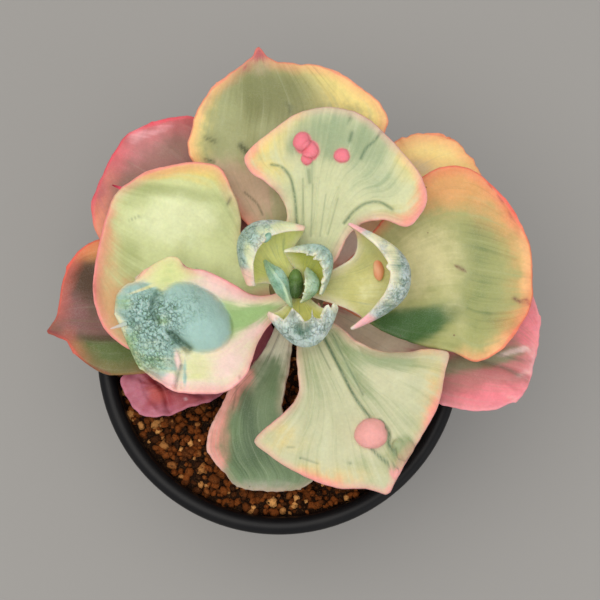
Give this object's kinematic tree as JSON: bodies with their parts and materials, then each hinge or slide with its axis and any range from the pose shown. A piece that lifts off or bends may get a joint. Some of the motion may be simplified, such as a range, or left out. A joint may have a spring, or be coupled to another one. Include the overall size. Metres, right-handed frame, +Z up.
{
  "type": "potted variegated echeveria",
  "caption": "Variegated echeveria rosette with frilled, fleshy warts on its leaves, planted off centre in granular soil in a round matt black plastic pot.",
  "frame": {"origin": "centre of the pot's flat base, on the surface that it stands on", "axes": "+Z up; +X to the right and +Y to the back as seen in the picture"},
  "size_m": [0.1188, 0.1156, 0.1075],
  "materials": {
    "pot_plastic": "matt, faintly satin on the rim",
    "soil_granules": "baked clay granules",
    "stem": "dry, fleshy",
    "leaf_front_left_crimson": "crinkled, powdery",
    "leaf_front_green": "powdery",
    "leaf_left_rust": "powdery",
    "leaf_back_left_mauve": "powdery",
    "leaf_back_right_amber": "powdery",
    "leaf_right_rose": "powdery",
    "leaf_right_olive": "powdery",
    "leaf_back_pointed": "powdery",
    "leaf_left_cupped": "powdery",
    "leaf_left_caruncled": "powdery, with a blue-green warty mass",
    "leaf_front_fan": "powdery",
    "leaf_back_fan": "powdery",
    "leaf_right_hooded": "powdery",
    "leaf_back_left_hooded": "powdery",
    "leaf_back_right_frilled": "powdery",
    "leaf_front_frilled": "powdery",
    "leaf_heart_left": "powdery",
    "leaf_heart_right": "powdery",
    "heart_bud": "smooth"
  },
  "bodies": {
    "root": {"pot": "pot_plastic", "soil": "soil_granules", "stem": "stem", "leaf_front_left_crimson": "leaf_front_left_crimson", "leaf_front_green": "leaf_front_green", "leaf_left_rust": "leaf_left_rust", "leaf_back_left_mauve": "leaf_back_left_mauve", "leaf_back_right_amber": "leaf_back_right_amber", "leaf_right_rose": "leaf_right_rose", "leaf_right_olive": "leaf_right_olive", "leaf_back_pointed": "leaf_back_pointed", "leaf_left_cupped": "leaf_left_cupped", "leaf_left_caruncled": "leaf_left_caruncled", "leaf_front_fan": "leaf_front_fan", "leaf_back_fan": "leaf_back_fan", "leaf_right_hooded": "leaf_right_hooded", "leaf_back_left_hooded": "leaf_back_left_hooded", "leaf_back_right_frilled": "leaf_back_right_frilled", "leaf_front_frilled": "leaf_front_frilled", "leaf_heart_left": "leaf_heart_left", "leaf_heart_right": "leaf_heart_right", "heart_bud": "heart_bud"}
  },
  "joints": []
}
